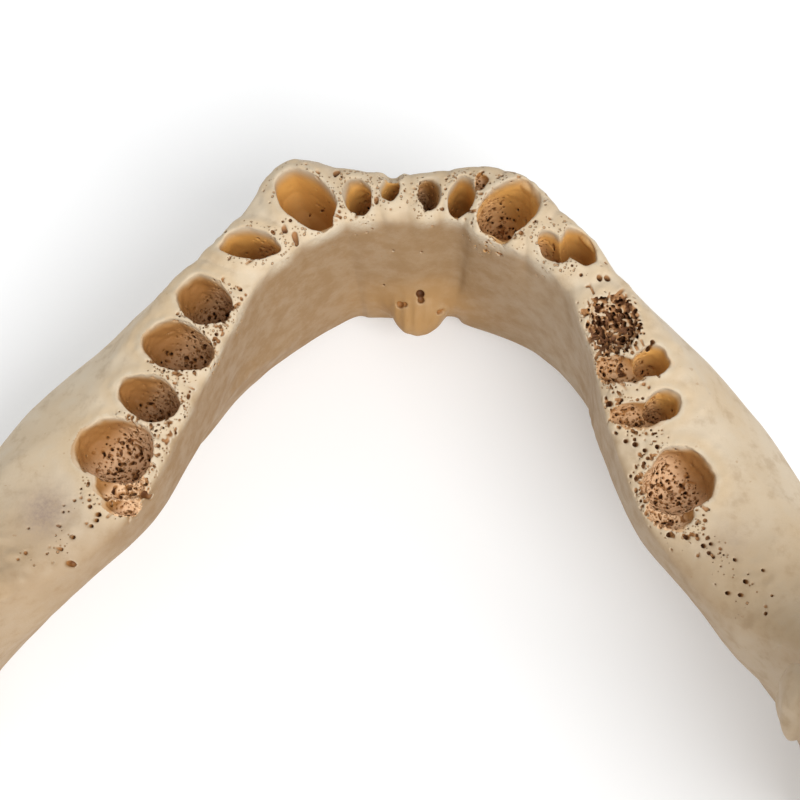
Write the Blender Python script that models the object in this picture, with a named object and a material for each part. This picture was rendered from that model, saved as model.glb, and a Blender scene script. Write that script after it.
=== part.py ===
"""A human lower jaw with empty tooth sockets, life-size, as one closed solid.

Sizes are in millimetres and go out in metres. X runs to the jaw's own left, Y back from the incisor
sockets to the condyles, Z up from the table that the jaw rests on. The finished bone is moved forward
so that the middle of its length is at the origin.
"""
import math

import bpy
import bmesh
import numpy as np
from mathutils import Matrix, Vector

MM = 0.001

# Driving dimensions of the dried bone
ANGLE_SPAN = 103.0  # between the outer faces of the two angles
CONDYLE_SPAN = 121.0  # between the outer poles of the condyles
CONDYLE_WIDTH = 19.5  # of one condyle, along its own axis
CONDYLE_TURN = 73.0  # how far that axis is turned from straight ahead, in degrees
CREST = 28.0  # the tooth-bearing rim above the table, at the chin
CORONOID_TOP = 61.2
CONDYLE_TOP = 61.0
NOTCH_FLOOR = 46.5
ANGLE_BACK = 59.0  # the lowest point of the angles, behind the incisor sockets
REST_FLAT = 0.5  # how much the feet under the chin and the angles are flattened
MIDDLE_BACK = 44.07  # the middle of the bone's length, behind the incisor sockets

# Fineness of the mesh
RINGS_PER_STOP = 6
RING_POINTS = 28
SOCKET_POINTS = 12
BUMP_SEGMENTS = 12

LEVELS = np.array((0.0, 0.25, 0.5, 0.75, 1.0))  # of a section, from its foot to its top
ANGLE_X = ANGLE_SPAN / 2 - 2.5
CONDYLE_X = CONDYLE_SPAN / 2 - CONDYLE_WIDTH / 2 * math.sin(math.radians(CONDYLE_TURN))


def plump(half):
    """The same half thickness at every level, as in a head or a neck."""
    return (half,) * len(LEVELS)


# Sections of one half, from the midline round to the summit of the condyle. Each has its stop along
# the bone, its top and foot, the way that its outer face looks in degrees from straight ahead, the
# outer and then the inner half thickness at the five levels, and the rounding of its foot and its top.
SECTIONS = {
    "chin": (
        0.0, (0, 0.6, CREST), (0, 0.8, 0.6), 0,
        (5.8, 7.2, 3.2, 2.6, 3.4), (5.2, 5.2, 4.6, 3.6, 2.6), (4.5, 1.4)),
    "lateral incisor": (
        0.5, (6.0, 0.7, CREST + 0.3), (6.2, 0.6, 0.1), 14,
        (5.9, 6.5, 3.4, 2.8, 3.5), (5.7, 5.7, 4.7, 3.7, 2.7), (4.5, 1.4)),
    "canine": (
        1.0, (11.5, 2.0, CREST + 1.2), (12.3, 1.5, 0), 40,
        (5.2, 5.0, 4.2, 4.9, 5.8), (7.2, 7.0, 5.9, 4.7, 4.2), (4.5, 1.5)),
    "first premolar": (
        1.5, (17.9, 7.1, CREST + 1.0), (19.1, 6.1, 0.5), 52,
        (4.6, 4.8, 4.6, 4.4, 3.5), (6.8, 6.8, 5.8, 4.6, 3.9), (4.5, 1.5)),
    "second premolar": (
        2.0, (22.5, 14.4, CREST + 0.7), (24.7, 13.1, 1.0), 58,
        (4.5, 5.3, 6.0, 5.5, 3.8), (5.2, 5.8, 5.2, 4.6, 3.9), (4.2, 1.6)),
    "first molar": (
        2.5, (26.2, 22.2, CREST + 0.2), (29.2, 20.4, 1.3), 57,
        (5.0, 6.5, 8.1, 8.3, 4.9), (5.5, 6.2, 6.7, 5.9, 5.0), (4.2, 1.8)),
    "second molar": (
        3.0, (30.8, 32.2, CREST - 0.7), (35.0, 29.4, 1.7), 56,
        (5.5, 8.2, 10.9, 11.2, 5.2), (5.5, 4.8, 7.2, 6.9, 5.2), (4.0, 2.0)),
    "behind the sockets": (
        3.5, (35.2, 40.0, CREST - 1.2), (40.2, 37.5, 2.2), 60,
        (5.0, 7.8, 10.4, 10.5, 7.5), (4.5, 4.0, 5.6, 5.3, 3.9), (3.8, 2.6)),
    "root of the ramus": (
        4.0, (41.5, 45.6, CREST + 0.2), (45.4, 46.4, 2.4), 69,
        (4.0, 5.2, 7.0, 7.4, 6.0), (3.8, 4.5, 6.1, 5.8, 4.1), (3.4, 3.0)),
    "front of the angle": (
        4.5, (46.0, 49.8, 32.8), (48.2, 53.2, 1.2), 76,
        (3.0, 3.8, 4.1, 3.9, 3.2), (3.0, 4.2, 5.2, 4.8, 3.3), (3.0, 2.8)),
    "angle": (
        5.0, (47.2, 51.6, 40.5), (ANGLE_X, ANGLE_BACK, 0), 80,
        (2.6, 3.2, 3.1, 2.7, 2.2), (2.6, 3.4, 3.9, 3.5, 2.3), (2.8, 2.6)),
    "behind the angle": (
        5.4, (47.8, 53.4, 49.0), (ANGLE_X + 0.8, 66.0, 4.0), 81,
        (2.6, 3.1, 2.8, 2.3, 1.9), (2.5, 3.0, 3.4, 2.7, 1.9), (3.0, 2.4)),
    "front of the coronoid": (
        5.8, (48.3, 55.4, 57.0), (ANGLE_X + 1.3, 70.7, 11.5), 82,
        (2.7, 3.0, 2.6, 2.0, 1.5), (2.5, 2.8, 2.8, 2.1, 1.5), (3.0, 2.2)),
    "coronoid": (
        6.1, (48.6, 58.6, CORONOID_TOP), (ANGLE_X + 1.5, 74.2, 18.0), 82,
        (2.7, 2.9, 2.4, 1.8, 1.4), (2.5, 2.7, 2.6, 1.9, 1.4), (3.0, 2.0)),
    "back of the coronoid": (
        6.5, (48.9, 62.3, 55.2), (ANGLE_X + 1.6, 77.2, 24.0), 82,
        (2.7, 2.7, 2.2, 1.7, 1.3), (2.5, 2.5, 2.4, 1.7, 1.3), (3.0, 2.0)),
    "front of the notch": (
        6.85, (49.1, 65.6, 49.4), (ANGLE_X + 1.6, 79.4, 28.3), 82,
        (2.8, 2.6, 2.1, 1.6, 1.3), (2.5, 2.4, 2.2, 1.6, 1.3), (3.0, 2.0)),
    "notch": (
        7.3, (49.4, 71.0, NOTCH_FLOOR), (ANGLE_X + 1.5, 82.0, 33.3), 82,
        (2.8, 2.5, 2.0, 1.6, 1.3), (2.5, 2.4, 2.1, 1.6, 1.3), (3.0, 2.0)),
    "neck": (
        7.9, (50.0, 78.6, 48.4), (ANGLE_X + 1.2, 86.4, 41.5), 80,
        (3.0, 3.2, 3.1, 2.9, 2.6), (3.1, 3.4, 3.5, 3.3, 3.0), (3.8, 3.2)),
    "top of the neck": (
        8.4, (CONDYLE_X, 82.6, 52.0), (CONDYLE_X, 90.8, 48.2), 76, plump(5.6), plump(6.0), (4.5, 4.5)),
    "underside of the condyle": (
        8.8, (CONDYLE_X, 84.8, 55.2), (CONDYLE_X, 93.6, 52.8), CONDYLE_TURN,
        plump(8.6), plump(8.8), (4.5, 4.5)),
    "condyle": (
        9.1, (CONDYLE_X, 85.7, 57.8), (CONDYLE_X, 94.6, 56.0), CONDYLE_TURN,
        plump(CONDYLE_WIDTH / 2), plump(CONDYLE_WIDTH / 2), (4.5, 4.5)),
    "top of the condyle": (
        9.4, (CONDYLE_X, 86.9, CONDYLE_TOP - 1.2), (CONDYLE_X, 93.6, CONDYLE_TOP - 1.8), CONDYLE_TURN,
        plump(8.5), plump(8.5), (3.3, 3.3)),
    "summit": (
        9.6, (CONDYLE_X, 88.6, CONDYLE_TOP), (CONDYLE_X, 91.8, CONDYLE_TOP - 0.2), CONDYLE_TURN,
        plump(5.8), plump(5.8), (1.6, 1.6)),
}
ODD = (0, 3, 6)  # the columns that change sign on the other half: both x values and the turn

# Where the two halves stray from the sections: the section, the half (1 is the jaw's left), how far it
# moves outwards and back, and what its outer and its inner half thickness gain
UNEVEN = (
    ("canine", 1, -0.6, -0.8, -0.2, 0.0),
    ("first premolar", 1, 0.0, 0.0, -0.7, 0.2),
    ("second premolar", 1, 0.0, 0.0, 0.2, 0.4),
    ("first molar", 1, 0.0, 0.0, -0.4, 0.1),
    ("second molar", 1, 0.0, 0.0, -0.3, 0.3),
    ("behind the sockets", 1, 0.0, 0.0, 0.7, 0.8),
    ("root of the ramus", 1, 0.3, 0.0, 0.2, 0.2),
    ("front of the angle", 1, 0.3, 0.0, 0.0, -0.7),
    ("lateral incisor", -1, 0.0, -0.8, 0.5, 0.0),
    ("canine", -1, -0.9, -0.6, -1.2, 0.0),
    ("first premolar", -1, 0.3, 0.0, -0.5, -1.2),
    ("second premolar", -1, 0.8, 0.0, 0.2, -0.5),
    ("first molar", -1, 1.0, 0.0, 0.1, 0.3),
    ("second molar", -1, 0.7, 0.0, -0.3, 0.1),
    ("behind the sockets", -1, 0.4, 0.0, 0.7, 0.2),
    ("root of the ramus", -1, 0.7, 0.0, 0.6, 0.1),
    ("front of the angle", -1, 0.9, 0.0, 0.0, -0.6),
    ("angle", -1, 0.8, 0.0, 0.0, -0.8),
)

# Tooth sockets: side (1 is the jaw's left), middle out from the midline and back, half length, half
# width, turn of the length from sideways towards the back in degrees, depth, and how far the floor
# lies behind the mouth
SOCKETS = (
    (1, 2.4, -0.1, 1.5, 1.1, 90, 7.0, 1.2),
    (1, 6.0, 1.0, 2.2, 1.5, 94, 9.0, 1.4),
    (1, 11.5, 1.6, 4.1, 2.6, 134, 12.0, 1.6),
    (1, 17.8, 7.5, 3.0, 1.8, -2, 10.0, 0.6),
    (1, 22.2, 14.5, 3.1, 2.6, -20, 9.5, 0.4),
    (1, 24.7, 19.9, 4.0, 2.8, -17, 8.5, 0.3),
    (1, 27.2, 26.0, 3.5, 2.3, -22, 8.0, 0.3),
    (1, 30.5, 32.3, 4.4, 3.5, -3, 8.5, 0.8),
    (-1, 2.15, 0.1, 1.8, 1.15, 90, 8.0, 1.3),
    (-1, 5.8, 0.5, 2.3, 1.4, 104, 9.5, 1.4),
    (-1, 11.3, 1.8, 4.0, 2.7, 134, 12.0, 1.6),
    (-1, 17.9, 6.1, 3.3, 1.9, 16, 9.5, 0.4),
    (-1, 23.1, 14.8, 3.1, 2.7, -20, 2.6, 0.0),
    (-1, 25.6, 19.3, 3.9, 2.0, -8, 6.0, 0.3),
    (-1, 27.7, 24.2, 3.4, 2.0, -14, 6.0, 0.3),
    (-1, 31.2, 32.4, 3.8, 3.5, -20, 7.5, 0.6),
)
SOCKET_TAPER = ((-0.4, 1.12), (0.0, 1.0), (0.5, 0.92), (0.85, 0.7), (1.0, 0.4))  # depth share, size
HIGHEST_LIFT = 2.0  # a cutter rises at most this far above the rim

# Rounded bumps and holes: middle, the three half sizes, and the tilt about X, Y and Z in degrees
GENIAL_SPUR = ((-1.2, 5.9, 8.2), (3.6, 3.5, 2.5), (-20, 0, 0))
LINGULA = ((43.2, 57.0, 30.2), (1.7, 3.8, 2.6), (10, 0, -3))
LINGUAL_HOLE = ((-1.0, 6.0, 10.9), (0.5, 2.6, 0.5), (60, 0, 0))
MENTAL_HOLE = ((28.0, 10.9, 13.8), (1.5, 3.2, 1.2), (15, 0, 40))
MANDIBULAR_HOLE = ((43.8, 64.6, 32.4), (1.9, 2.3, 3.4), (-30, 0, 8))

BONE_COLOUR = (0.80, 0.70, 0.52, 1.0)
BONE_ROUGHNESS = 0.62


def clear_scene():
    for thing in list(bpy.data.objects):
        bpy.data.objects.remove(thing, do_unlink=True)


def through(knots, values, at):
    """The smooth curve through values at knots, read at the places in at."""
    slopes = np.gradient(values, knots, axis=0)
    left = np.clip(np.searchsorted(knots, at) - 1, 0, len(knots) - 2)
    width = (knots[left + 1] - knots[left])[:, None]
    part = (at[:, None] - knots[left][:, None]) / width
    rest = 1 - part
    return (
        rest * rest * (1 + 2 * part) * values[left]
        + part * part * (1 + 2 * rest) * values[left + 1]
        + rest * part * width * (rest * slopes[left] - part * slopes[left + 1])
    )


def section_table():
    """Stops and section rows of the whole bone, from the right condyle to the left one."""
    stops = np.array([section[0] for section in SECTIONS.values()])
    rows = np.array([(*top, *foot, turn, *outer, *inner, *rounding)
                     for _, top, foot, turn, outer, inner, rounding in SECTIONS.values()])
    mirrored = rows[:0:-1].copy()
    mirrored[:, ODD] *= -1
    rows = np.concatenate((mirrored, rows))
    for name, side, out, back, outer, inner in UNEVEN:
        row = rows[len(SECTIONS) - 1 + side * list(SECTIONS).index(name)]
        row[[0, 3]] += side * out
        row[[1, 4]] += back
        row[7:12] += outer
        row[12:17] += inner
    return np.concatenate((-stops[:0:-1], stops)), rows


def ring(row, count):
    """One closed section of the bone, up its outer face and down its inner face."""
    top, foot, turn = row[0:3], row[3:6], math.radians(row[6])
    outward = np.array((math.sin(turn), -math.cos(turn), 0))
    angle = np.linspace(0, 2 * math.pi, count, endpoint=False)
    level = (1 - np.cos(angle)) / 2
    outer, inner = through(LEVELS, np.stack((row[7:12], row[12:17]), axis=1), level).T
    length = np.linalg.norm(top - foot)
    near_foot = np.minimum(level * length / row[17], 1)
    near_top = np.minimum((1 - level) * length / row[18], 1)
    cap = np.sqrt(near_foot * (2 - near_foot) * near_top * (2 - near_top))
    offset = np.where(angle < math.pi, outer, -inner) * cap
    return foot + (top - foot) * level[:, None] + outward * offset[:, None]


def add_object(name, form):
    """A new object from a bmesh in millimetres, its faces looking out."""
    bmesh.ops.recalc_face_normals(form, faces=form.faces)
    form.transform(Matrix.Scale(MM, 4))
    mesh = bpy.data.meshes.new(name)
    form.to_mesh(mesh)
    form.free()
    thing = bpy.data.objects.new(name, mesh)
    bpy.context.collection.objects.link(thing)
    return thing


def skin_rings(name, rings):
    """A closed object through equal rings of points, with both ends filled."""
    form = bmesh.new()
    loops = [[form.verts.new(point) for point in points] for points in rings]
    count = len(loops[0])
    for lower, upper in zip(loops, loops[1:]):
        for j in range(count):
            k = (j + 1) % count
            form.faces.new((lower[j], lower[k], upper[k], upper[j]))
    form.faces.new(loops[0])
    form.faces.new(loops[-1])
    return add_object(name, form)


def jaw_body():
    """The whole bone without its sockets, one loft from condyle to condyle."""
    stops, rows = section_table()
    last = stops[-1]
    places = np.linspace(-last, last, 2 * round(last * RINGS_PER_STOP) + 1)
    rings = [ring(row, RING_POINTS) for row in through(stops, rows, places)]
    for points in rings:
        points[:, 2] = np.maximum(points[:, 2], REST_FLAT) - REST_FLAT
    return skin_rings("mandible", rings)


def crest_height(x, y):
    """Height of the rim at the place along the arch nearest to x, y."""
    stops, rows = section_table()
    tops = through(stops, rows, np.linspace(-4, 4, 161))[:, :3]
    return tops[np.argmin(np.hypot(tops[:, 0] - x, tops[:, 1] - y)), 2] - REST_FLAT


def socket_cutter(side, out, back, half_length, half_width, turn, depth, lean):
    """A tapered cup that stands in the bone with its mouth above the rim."""
    rim = crest_height(side * out, back)
    turn = math.radians(turn)
    along = np.array((math.cos(turn), math.sin(turn), 0))
    across = np.array((-math.sin(turn), math.cos(turn), 0))
    angle = np.linspace(0, 2 * math.pi, SOCKET_POINTS, endpoint=False)[:, None]
    outline = along * half_length * np.cos(angle) + across * half_width * np.sin(angle)
    rings = []
    for share, size in SOCKET_TAPER:
        down = max(share * depth, -HIGHEST_LIFT) if share else 0
        middle = np.array((out, back + max(share, 0) * lean, rim - down))
        rings.append((middle + outline * size) * (side, 1, 1))
    return skin_rings("socket", rings)


def rounded(name, middle, half_sizes, tilt, side=1):
    """An ellipsoid, mirrored to the right half where side is -1."""
    form = bmesh.new()
    bmesh.ops.create_uvsphere(form, u_segments=BUMP_SEGMENTS, v_segments=BUMP_SEGMENTS // 2 + 1, radius=1)
    bmesh.ops.scale(form, vec=half_sizes, verts=form.verts)
    for axis, degrees in zip("XYZ", tilt):
        form.transform(Matrix.Rotation(math.radians(degrees), 4, axis))
    bmesh.ops.translate(form, vec=middle, verts=form.verts)
    bmesh.ops.scale(form, vec=(side, 1, 1), verts=form.verts)
    return add_object(name, form)


def combine(body, tools, operation):
    """Joins the tools to the body or cuts them from it, and removes them."""
    group = bpy.data.collections.new("tools")
    for tool in tools:
        group.objects.link(tool)
    modifier = body.modifiers.new("combine", "BOOLEAN")
    modifier.operation = operation
    modifier.solver = "EXACT"
    modifier.operand_type = "COLLECTION"
    modifier.collection = group
    bpy.context.view_layer.update()
    evaluated = body.evaluated_get(bpy.context.evaluated_depsgraph_get())
    body.data = bpy.data.meshes.new_from_object(evaluated)
    body.modifiers.clear()
    for tool in tools:
        bpy.data.objects.remove(tool, do_unlink=True)
    bpy.data.collections.remove(group)


def keep_largest(body):
    """Drops every loose scrap, so that one closed surface is left."""
    form = bmesh.new()
    form.from_mesh(body.data)
    waiting = set(form.verts)
    islands = []
    while waiting:
        island = {waiting.pop()}
        front = list(island)
        while front:
            near = {edge.other_vert(vert) for vert in front for edge in vert.link_edges} - island
            island |= near
            front = list(near)
        waiting -= island
        islands.append(island)
    largest = max(islands, key=len)
    bmesh.ops.delete(form, geom=[vert for vert in form.verts if vert not in largest], context="VERTS")
    form.to_mesh(body.data)
    form.free()


def bone_material():
    material = bpy.data.materials.new("dry bone")
    material.use_nodes = True
    shader = material.node_tree.nodes["Principled BSDF"]
    shader.inputs["Base Color"].default_value = BONE_COLOUR
    shader.inputs["Roughness"].default_value = BONE_ROUGHNESS
    shader.inputs["Metallic"].default_value = 0.0
    material.diffuse_color = BONE_COLOUR
    return material


def build():
    clear_scene()
    jaw = jaw_body()
    bumps = [rounded("bump", *GENIAL_SPUR)]
    bumps += [rounded("bump", *LINGULA, side) for side in (1, -1)]
    combine(jaw, bumps, "UNION")
    cutters = [socket_cutter(*socket) for socket in SOCKETS]
    cutters.append(rounded("hole", *LINGUAL_HOLE))
    cutters += [rounded("hole", *hole, side) for hole in (MENTAL_HOLE, MANDIBULAR_HOLE) for side in (1, -1)]
    combine(jaw, cutters, "DIFFERENCE")
    keep_largest(jaw)
    jaw.data.transform(Matrix.Translation(Vector((0, -MIDDLE_BACK, 0)) * MM))
    jaw.data.materials.clear()
    jaw.data.materials.append(bone_material())
    jaw.data.shade_smooth()
    jaw.data.set_sharp_from_angle(angle=math.radians(40))


build()
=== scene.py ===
"""The looks of a dried human lower jaw whose tooth sockets are all empty.

The bone is worked out as a distance field on a grid: a smooth loft first, then the sockets with their
raised lips, then the pores and the spongy places, and last one closed mesh round all of it.

Sizes are in millimetres and go out in metres. X runs to the jaw's own left, Y back from the incisor
sockets to the condyles, Z up from the table that the jaw rests on. The finished mesh is moved forward
so that the middle of its length is at the origin, as in the frame.
"""

import itertools
import math

import bpy
import numpy as np
import openvdb
from mathutils import Matrix, Vector


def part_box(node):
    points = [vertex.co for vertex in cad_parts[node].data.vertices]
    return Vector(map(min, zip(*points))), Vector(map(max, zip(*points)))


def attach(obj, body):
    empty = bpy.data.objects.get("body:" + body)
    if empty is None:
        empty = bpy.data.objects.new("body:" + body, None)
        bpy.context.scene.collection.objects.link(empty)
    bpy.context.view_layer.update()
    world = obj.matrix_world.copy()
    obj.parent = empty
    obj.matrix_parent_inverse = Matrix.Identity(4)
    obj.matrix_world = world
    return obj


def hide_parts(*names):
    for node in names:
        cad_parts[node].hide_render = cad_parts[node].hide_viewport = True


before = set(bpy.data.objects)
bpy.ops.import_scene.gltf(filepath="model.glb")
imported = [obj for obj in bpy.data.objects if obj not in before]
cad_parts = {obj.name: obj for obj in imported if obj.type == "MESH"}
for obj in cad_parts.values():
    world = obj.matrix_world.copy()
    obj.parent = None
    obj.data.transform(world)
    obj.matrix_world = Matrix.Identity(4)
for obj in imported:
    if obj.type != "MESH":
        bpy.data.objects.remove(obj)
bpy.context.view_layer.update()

MM = 0.001
TINY = 1e-9  # keeps a length of nothing out of a division

# Driving dimensions of the bone
ANGLE_SPAN = 103.0  # between the outer faces of the two angles
CONDYLE_SPAN = 121.0  # between the outer poles of the condyles
CONDYLE_WIDTH = 19.5  # of one condyle, along its own axis
CONDYLE_TURN = 73.0  # how far that axis is turned from straight ahead, in degrees
CREST = 28.0  # the tooth-bearing rim above the table, at the chin
CORONOID_TOP = 61.2
CONDYLE_TOP = 61.0
NOTCH_FLOOR = 46.5
ANGLE_BACK = 59.0  # the lowest point of the angles, behind the incisor sockets
REST_FLAT = 0.5  # how much the feet under the chin and the angles are flattened
MIDDLE_BACK = 44.07  # the middle of the bone's length, behind the incisor sockets

# Fineness
RINGS_PER_STOP = 40
RING_POINTS = 168
VOXEL = 0.13
BAND_VOXELS = 8
BAND = VOXEL * BAND_VOXELS  # the field is true up to this far from the surface
FLATNESS = 0.004  # how much the meshing may simplify smooth places, from 0 to 1

RIM_BOX = ((-46, -7, 8), (46, 50, 36))  # the part of the bone with the sockets and the pores
SPUR_BOX = ((-9, 1, 3), (7, 14, 18))
PORE_LIMITS = (45, 49, 8)  # pores start inside these: out from the midline, back, and above

LEVELS = np.array((0.0, 0.25, 0.5, 0.75, 1.0))  # of a section, from its foot to its top
ANGLE_X = ANGLE_SPAN / 2 - 2.5
CONDYLE_X = CONDYLE_SPAN / 2 - CONDYLE_WIDTH / 2 * math.sin(math.radians(CONDYLE_TURN))


def plump(half):
    """The same half thickness at every level, as in a head or a neck."""
    return (half,) * len(LEVELS)


# Sections of one half, from the midline round to the summit of the condyle. Each has its stop along
# the bone, its top and foot, the way that its outer face looks in degrees from straight ahead, the
# outer and then the inner half thickness at the five levels, and the rounding of its foot and its top.
SECTIONS = {
    "chin": (
        0.0, (0, 0.6, CREST), (0, 0.8, 0.6), 0,
        (5.8, 7.2, 3.2, 2.6, 3.4), (5.2, 5.2, 4.6, 3.6, 2.6), (4.5, 1.4)),
    "lateral incisor": (
        0.5, (6.0, 0.7, CREST + 0.3), (6.2, 0.6, 0.1), 14,
        (5.9, 6.5, 3.4, 2.8, 3.5), (5.7, 5.7, 4.7, 3.7, 2.7), (4.5, 1.4)),
    "canine": (
        1.0, (11.5, 2.0, CREST + 1.2), (12.3, 1.5, 0), 40,
        (5.2, 5.0, 4.2, 4.9, 5.8), (7.2, 7.0, 5.9, 4.7, 4.2), (4.5, 1.5)),
    "first premolar": (
        1.5, (17.9, 7.1, CREST + 1.0), (19.1, 6.1, 0.5), 52,
        (4.6, 4.8, 4.6, 4.4, 3.5), (6.8, 6.8, 5.8, 4.6, 3.9), (4.5, 1.5)),
    "second premolar": (
        2.0, (22.5, 14.4, CREST + 0.7), (24.7, 13.1, 1.0), 58,
        (4.5, 5.3, 6.0, 5.5, 3.8), (5.2, 5.8, 5.2, 4.6, 3.9), (4.2, 1.6)),
    "first molar": (
        2.5, (26.2, 22.2, CREST + 0.2), (29.2, 20.4, 1.3), 57,
        (5.0, 6.5, 8.1, 8.3, 4.9), (5.5, 6.2, 6.7, 5.9, 5.0), (4.2, 1.8)),
    "second molar": (
        3.0, (30.8, 32.2, CREST - 0.7), (35.0, 29.4, 1.7), 56,
        (5.5, 8.2, 10.9, 11.2, 5.2), (5.5, 4.8, 7.2, 6.9, 5.2), (4.0, 2.0)),
    "behind the sockets": (
        3.5, (35.2, 40.0, CREST - 1.2), (40.2, 37.5, 2.2), 60,
        (5.0, 7.8, 10.4, 10.5, 7.5), (4.5, 4.0, 5.6, 5.3, 3.9), (3.8, 2.6)),
    "root of the ramus": (
        4.0, (41.5, 45.6, CREST + 0.2), (45.4, 46.4, 2.4), 69,
        (4.0, 5.2, 7.0, 7.4, 6.0), (3.8, 4.5, 6.1, 5.8, 4.1), (3.4, 3.0)),
    "front of the angle": (
        4.5, (46.0, 49.8, 32.8), (48.2, 53.2, 1.2), 76,
        (3.0, 3.8, 4.1, 3.9, 3.2), (3.0, 4.2, 5.2, 4.8, 3.3), (3.0, 2.8)),
    "angle": (
        5.0, (47.2, 51.6, 40.5), (ANGLE_X, ANGLE_BACK, 0), 80,
        (2.6, 3.2, 3.1, 2.7, 2.2), (2.6, 3.4, 3.9, 3.5, 2.3), (2.8, 2.6)),
    "behind the angle": (
        5.4, (47.8, 53.4, 49.0), (ANGLE_X + 0.8, 66.0, 4.0), 81,
        (2.6, 3.1, 2.8, 2.3, 1.9), (2.5, 3.0, 3.4, 2.7, 1.9), (3.0, 2.4)),
    "front of the coronoid": (
        5.8, (48.3, 55.4, 57.0), (ANGLE_X + 1.3, 70.7, 11.5), 82,
        (2.7, 3.0, 2.6, 2.0, 1.5), (2.5, 2.8, 2.8, 2.1, 1.5), (3.0, 2.2)),
    "coronoid": (
        6.1, (48.6, 58.6, CORONOID_TOP), (ANGLE_X + 1.5, 74.2, 18.0), 82,
        (2.7, 2.9, 2.4, 1.8, 1.4), (2.5, 2.7, 2.6, 1.9, 1.4), (3.0, 2.0)),
    "back of the coronoid": (
        6.5, (48.9, 62.3, 55.2), (ANGLE_X + 1.6, 77.2, 24.0), 82,
        (2.7, 2.7, 2.2, 1.7, 1.3), (2.5, 2.5, 2.4, 1.7, 1.3), (3.0, 2.0)),
    "front of the notch": (
        6.85, (49.1, 65.6, 49.4), (ANGLE_X + 1.6, 79.4, 28.3), 82,
        (2.8, 2.6, 2.1, 1.6, 1.3), (2.5, 2.4, 2.2, 1.6, 1.3), (3.0, 2.0)),
    "notch": (
        7.3, (49.4, 71.0, NOTCH_FLOOR), (ANGLE_X + 1.5, 82.0, 33.3), 82,
        (2.8, 2.5, 2.0, 1.6, 1.3), (2.5, 2.4, 2.1, 1.6, 1.3), (3.0, 2.0)),
    "neck": (
        7.9, (50.0, 78.6, 48.4), (ANGLE_X + 1.2, 86.4, 41.5), 80,
        (3.0, 3.2, 3.1, 2.9, 2.6), (3.1, 3.4, 3.5, 3.3, 3.0), (3.8, 3.2)),
    "top of the neck": (
        8.4, (CONDYLE_X, 82.6, 52.0), (CONDYLE_X, 90.8, 48.2), 76, plump(5.6), plump(6.0), (4.5, 4.5)),
    "underside of the condyle": (
        8.8, (CONDYLE_X, 84.8, 55.2), (CONDYLE_X, 93.6, 52.8), CONDYLE_TURN,
        plump(8.6), plump(8.8), (4.5, 4.5)),
    "condyle": (
        9.1, (CONDYLE_X, 85.7, 57.8), (CONDYLE_X, 94.6, 56.0), CONDYLE_TURN,
        plump(CONDYLE_WIDTH / 2), plump(CONDYLE_WIDTH / 2), (4.5, 4.5)),
    "top of the condyle": (
        9.4, (CONDYLE_X, 86.9, CONDYLE_TOP - 1.2), (CONDYLE_X, 93.6, CONDYLE_TOP - 1.8), CONDYLE_TURN,
        plump(8.5), plump(8.5), (3.3, 3.3)),
    "summit": (
        9.6, (CONDYLE_X, 88.6, CONDYLE_TOP), (CONDYLE_X, 91.8, CONDYLE_TOP - 0.2), CONDYLE_TURN,
        plump(5.8), plump(5.8), (1.6, 1.6)),
}
ODD = (0, 3, 6)  # the columns that change sign on the other half: both x values and the turn

# Where the two halves stray from the sections: the section, the half (1 is the jaw's left), how far it
# moves outwards and back, and what its outer and its inner half thickness gain
UNEVEN = (
    ("canine", 1, -0.6, -0.8, -0.2, 0),
    ("first premolar", 1, 0, 0, -0.7, 0.2),
    ("second premolar", 1, 0, 0, 0.2, 0.4),
    ("first molar", 1, 0, 0, -0.4, 0.1),
    ("second molar", 1, 0, 0, -0.3, 0.3),
    ("behind the sockets", 1, 0, 0, 0.7, 0.8),
    ("root of the ramus", 1, 0.3, 0, 0.2, 0.2),
    ("front of the angle", 1, 0.3, 0, 0, -0.7),
    ("lateral incisor", -1, 0, -0.8, 0.5, 0),
    ("canine", -1, -0.9, -0.6, -1.2, 0),
    ("first premolar", -1, 0.3, 0, -0.5, -1.2),
    ("second premolar", -1, 0.8, 0, 0.2, -0.5),
    ("first molar", -1, 1.0, 0, 0.1, 0.3),
    ("second molar", -1, 0.7, 0, -0.3, 0.1),
    ("behind the sockets", -1, 0.4, 0, 0.7, 0.2),
    ("root of the ramus", -1, 0.7, 0, 0.6, 0.1),
    ("front of the angle", -1, 0.9, 0, 0, -0.6),
    ("angle", -1, 0.8, 0, 0, -0.8),
)

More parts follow.
